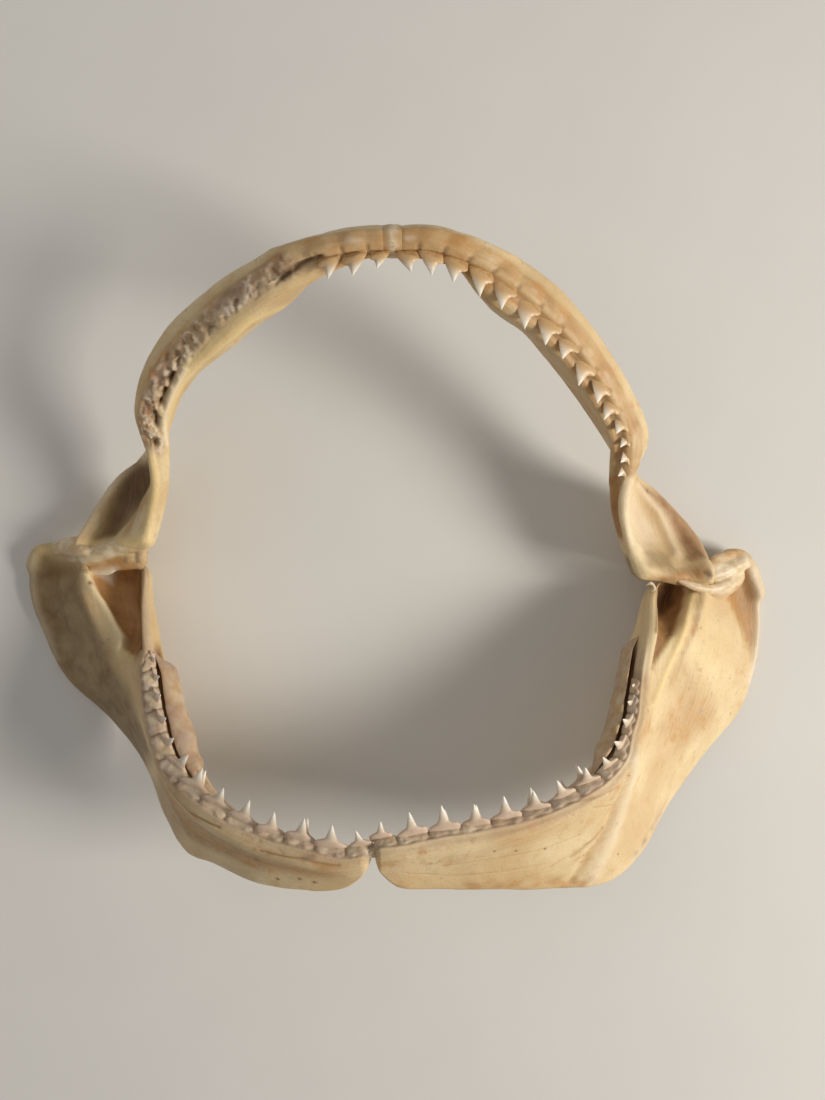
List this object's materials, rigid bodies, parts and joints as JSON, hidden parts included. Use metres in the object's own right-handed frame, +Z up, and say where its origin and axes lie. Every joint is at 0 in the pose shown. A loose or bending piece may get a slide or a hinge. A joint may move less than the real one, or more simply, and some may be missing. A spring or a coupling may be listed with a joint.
{
  "type": "dried shark jaw",
  "caption": "Life-size dried requiem shark jaw, mouth held wide open, lying on its back with both tooth rows and the hinge cartilages exposed.",
  "frame": {"origin": "centre of the floor-level footprint of the whole jaw", "axes": "+Z up from the floor, out of the open mouth; +Y from the lower jaw towards the upper jaw; +X towards the animal's left"},
  "size_m": [0.3454, 0.2636, 0.1025],
  "materials": {
    "cartilage": "dried cartilage, ivory to amber, slightly waxy, with white teeth set in its edge",
    "ligament": "dried ligament, pale and partly shiny"
  },
  "bodies": {
    "root": {"upper_jaw_left": "cartilage", "upper_jaw_right": "cartilage", "lower_jaw_left": "cartilage", "lower_jaw_right": "cartilage", "upper_symphysis": "ligament", "lower_symphysis": "ligament", "hinge_left": "ligament", "hinge_right": "ligament"}
  },
  "joints": []
}
